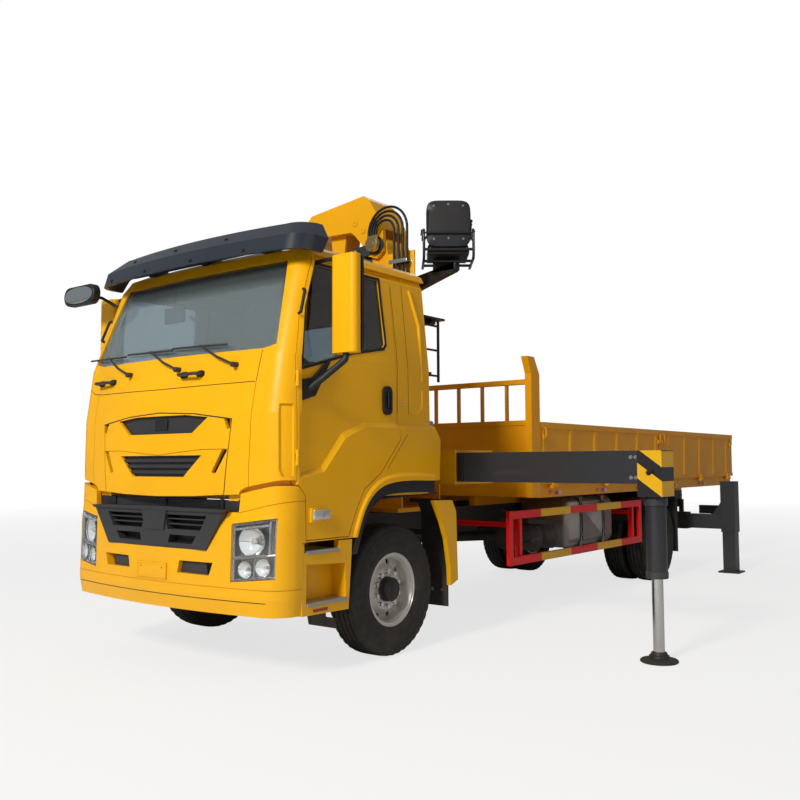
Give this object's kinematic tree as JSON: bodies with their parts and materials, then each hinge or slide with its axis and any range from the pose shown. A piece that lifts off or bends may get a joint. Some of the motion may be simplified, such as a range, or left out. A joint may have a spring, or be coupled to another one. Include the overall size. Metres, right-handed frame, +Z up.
{
  "type": "knuckle boom crane truck",
  "caption": "Two-axle flatbed truck with a forward cab, drop-side bed, slewing knuckle boom crane with operator seat, and four extending outriggers.",
  "frame": {"origin": "on the ground under the middle of the truck's bounding box", "axes": "+X to the truck's left, +Y to its rear, +Z up; the cab faces -Y"},
  "size_m": [6.18, 10.119, 4.235],
  "materials": {
    "yellow_paint": "gloss",
    "black_plastic": "satin moulded",
    "visor_plastic": "satin",
    "frame_paint": "satin",
    "grey_paint": "satin",
    "cast_steel": "rough",
    "tyre_rubber": "matte",
    "rim_silver": "satin",
    "window_glass": "clear",
    "lamp_lens": "clear",
    "seat_fabric": "woven",
    "guard_paint": "gloss",
    "tank_metal": "brushed",
    "cylinder_paint": "gloss",
    "chrome_rod": "polished"
  },
  "bodies": {
    "truck": {"chassis_frame": "frame_paint", "powertrain": "cast_steel", "axles": "cast_steel", "cab_shell": "yellow_paint", "cab_glass": "window_glass", "cab_interior": "seat_fabric", "sun_visor": "visor_plastic", "bumper": "yellow_paint", "nose_panel": "yellow_paint", "front_trim": "black_plastic", "headlamps": "lamp_lens", "mudguards": "black_plastic", "front_fenders": "yellow_paint", "side_guards": "guard_paint", "side_tanks": "tank_metal", "cargo_bed": "yellow_paint", "headboard": "yellow_paint", "crane_base": "yellow_paint"},
    "knuckle_left": {"knuckle_left": "cast_steel"},
    "front_wheel_left": {"front_rim_left": "rim_silver", "front_tyre_left": "tyre_rubber"},
    "rear_wheels_left": {"rear_rims_left": "rim_silver", "rear_tyres_left": "tyre_rubber"},
    "door_left": {"door_left": "yellow_paint", "door_glass_left": "window_glass", "door_trim_left": "black_plastic"},
    "side_front_left": {"side_front_left": "yellow_paint"},
    "side_rear_left": {"side_rear_left": "yellow_paint"},
    "outrigger_beam_left": {"outrigger_beam_left": "grey_paint"},
    "jack_left": {"jack_left": "chrome_rod"},
    "rear_beam_left": {"rear_beam_left": "grey_paint"},
    "rear_leg_left": {"rear_leg_left": "grey_paint"},
    "knuckle_right": {"knuckle_right": "cast_steel"},
    "front_wheel_right": {"front_rim_right": "rim_silver", "front_tyre_right": "tyre_rubber"},
    "rear_wheels_right": {"rear_rims_right": "rim_silver", "rear_tyres_right": "tyre_rubber"},
    "door_right": {"door_right": "yellow_paint", "door_glass_right": "window_glass", "door_trim_right": "black_plastic"},
    "side_front_right": {"side_front_right": "yellow_paint"},
    "side_rear_right": {"side_rear_right": "yellow_paint"},
    "outrigger_beam_right": {"outrigger_beam_right": "grey_paint"},
    "jack_right": {"jack_right": "chrome_rod"},
    "rear_beam_right": {"rear_beam_right": "grey_paint"},
    "rear_leg_right": {"rear_leg_right": "grey_paint"},
    "tailgate": {"tailgate": "yellow_paint"},
    "column": {"crane_column": "yellow_paint", "operator_station": "black_plastic"},
    "inner_boom": {"inner_boom": "yellow_paint", "link_plates": "grey_paint"},
    "outer_boom": {"outer_boom": "yellow_paint"},
    "telescope": {"telescope": "yellow_paint"},
    "boom_tip": {"boom_tip": "yellow_paint"},
    "hook": {"hook": "cast_steel"},
    "lift_barrel": {"lift_barrel": "cylinder_paint"},
    "lift_rod": {"lift_rod": "chrome_rod"},
    "fold_barrel": {"fold_barrel": "cylinder_paint"},
    "fold_rod": {"fold_rod": "chrome_rod"}
  },
  "joints": [
    {"name": "steer_left", "type": "hinge", "parent": "truck", "child": "knuckle_left", "pos_m": [0.82, -3.5775, 0.525], "axis": [0, 0, 1], "range_deg": [-35, 35]},
    {"name": "front_wheel_left_spin", "type": "hinge", "parent": "knuckle_left", "child": "front_wheel_left", "pos_m": [1.05, -3.5775, 0.525], "axis": [1, 0, 0], "continuous": true},
    {"name": "rear_wheels_left_spin", "type": "hinge", "parent": "truck", "child": "rear_wheels_left", "pos_m": [0.92, 1.9825, 0.525], "axis": [1, 0, 0], "continuous": true},
    {"name": "door_left_hinge", "type": "hinge", "parent": "truck", "child": "door_left", "pos_m": [1.243, -4.7625, 2], "axis": [0, 0, -1], "range_deg": [0, 70]},
    {"name": "side_front_left_hinge", "type": "hinge", "parent": "truck", "child": "side_front_left", "pos_m": [1.262, 0.3605, 1.296], "axis": [0, 1, 0], "range_deg": [0, 175]},
    {"name": "side_rear_left_hinge", "type": "hinge", "parent": "truck", "child": "side_rear_left", "pos_m": [1.262, 3.4925, 1.296], "axis": [0, 1, 0], "range_deg": [0, 90]},
    {"name": "outrigger_beam_left_slide", "type": "slide", "parent": "truck", "child": "outrigger_beam_left", "axis": [1, 0, 0], "range_m": [-1.6, 0]},
    {"name": "jack_left_slide", "type": "slide", "parent": "outrigger_beam_left", "child": "jack_left", "axis": [0, 0, 1], "range_m": [0, 0.55]},
    {"name": "rear_beam_left_slide", "type": "slide", "parent": "truck", "child": "rear_beam_left", "axis": [1, 0, 0], "range_m": [-0.33, 0]},
    {"name": "rear_leg_left_slide", "type": "slide", "parent": "rear_beam_left", "child": "rear_leg_left", "axis": [0, 0, 1], "range_m": [0, 0.44]},
    {"name": "steer_right", "type": "hinge", "parent": "truck", "child": "knuckle_right", "pos_m": [-0.82, -3.5775, 0.525], "axis": [0, 0, 1], "range_deg": [-35, 35]},
    {"name": "front_wheel_right_spin", "type": "hinge", "parent": "knuckle_right", "child": "front_wheel_right", "pos_m": [-1.05, -3.5775, 0.525], "axis": [1, 0, 0], "continuous": true},
    {"name": "rear_wheels_right_spin", "type": "hinge", "parent": "truck", "child": "rear_wheels_right", "pos_m": [-0.92, 1.9825, 0.525], "axis": [1, 0, 0], "continuous": true},
    {"name": "door_right_hinge", "type": "hinge", "parent": "truck", "child": "door_right", "pos_m": [-1.243, -4.7625, 2], "axis": [0, 0, 1], "range_deg": [0, 70]},
    {"name": "side_front_right_hinge", "type": "hinge", "parent": "truck", "child": "side_front_right", "pos_m": [-1.262, 0.3605, 1.296], "axis": [0, -1, 0], "range_deg": [0, 175]},
    {"name": "side_rear_right_hinge", "type": "hinge", "parent": "truck", "child": "side_rear_right", "pos_m": [-1.262, 3.4925, 1.296], "axis": [0, -1, 0], "range_deg": [0, 90]},
    {"name": "outrigger_beam_right_slide", "type": "slide", "parent": "truck", "child": "outrigger_beam_right", "axis": [-1, 0, 0], "range_m": [-1.6, 0]},
    {"name": "jack_right_slide", "type": "slide", "parent": "outrigger_beam_right", "child": "jack_right", "axis": [0, 0, 1], "range_m": [0, 0.55]},
    {"name": "rear_beam_right_slide", "type": "slide", "parent": "truck", "child": "rear_beam_right", "axis": [-1, 0, 0], "range_m": [-0.33, 0]},
    {"name": "rear_leg_right_slide", "type": "slide", "parent": "rear_beam_right", "child": "rear_leg_right", "axis": [0, 0, 1], "range_m": [0, 0.44]},
    {"name": "tailgate_hinge", "type": "hinge", "parent": "truck", "child": "tailgate", "pos_m": [0, 5.0365, 1.296], "axis": [-1, 0, 0], "range_deg": [0, 175]},
    {"name": "slew", "type": "hinge", "parent": "truck", "child": "column", "pos_m": [0.175, -2.3425, 1.76], "axis": [0, 0, 1], "range_deg": [-180, 180]},
    {"name": "luff", "type": "hinge", "parent": "column", "child": "inner_boom", "pos_m": [0.15, -2.3425, 3.7], "axis": [0, 1, 0], "range_deg": [-8, 65]},
    {"name": "fold", "type": "hinge", "parent": "inner_boom", "child": "outer_boom", "pos_m": [-1.5, -2.3425, 3.7], "axis": [0, 1, 0], "range_deg": [-120, 8]},
    {"name": "telescope_slide", "type": "slide", "parent": "outer_boom", "child": "telescope", "axis": [-1, 0, 0], "range_m": [0, 0.8]},
    {"name": "boom_tip_slide", "type": "slide", "parent": "telescope", "child": "boom_tip", "axis": [-1, 0, 0], "range_m": [0, 0.8]},
    {"name": "hook_swing", "type": "hinge", "parent": "boom_tip", "child": "hook", "pos_m": [-2.9, -2.3425, 3.692], "axis": [0, -1, 0], "range_deg": [-128, 35]},
    {"name": "lift_barrel_hinge", "type": "hinge", "parent": "column", "child": "lift_barrel", "pos_m": [-0.215, -2.3425, 2.56], "axis": [0, 1, 0], "range_deg": [-3, 4]},
    {"name": "lift_rod_slide", "type": "slide", "parent": "lift_barrel", "child": "lift_rod", "axis": [0.1134, 0, 0.9935], "range_m": [-0.05, 0.27]},
    {"name": "fold_barrel_hinge", "type": "hinge", "parent": "inner_boom", "child": "fold_barrel", "pos_m": [-0.43, -2.3425, 3.56], "axis": [0, 1, 0], "range_deg": [-6, 6]},
    {"name": "fold_rod_slide", "type": "slide", "parent": "fold_barrel", "child": "fold_rod", "axis": [-1, 0, -0.0075], "range_m": [-0.54, 0.04]}
  ],
  "couplings": [
    {"joint": "steer_right", "follows": "steer_left", "ratio": 1},
    {"joint": "lift_rod_slide", "follows": "luff", "m_per_rad": 0.2246},
    {"joint": "lift_barrel_hinge", "follows": "luff", "ratio": 0.0452},
    {"joint": "fold_rod_slide", "follows": "fold", "m_per_rad": 0.2482},
    {"joint": "fold_barrel_hinge", "follows": "fold", "ratio": 0.0024}
  ]
}
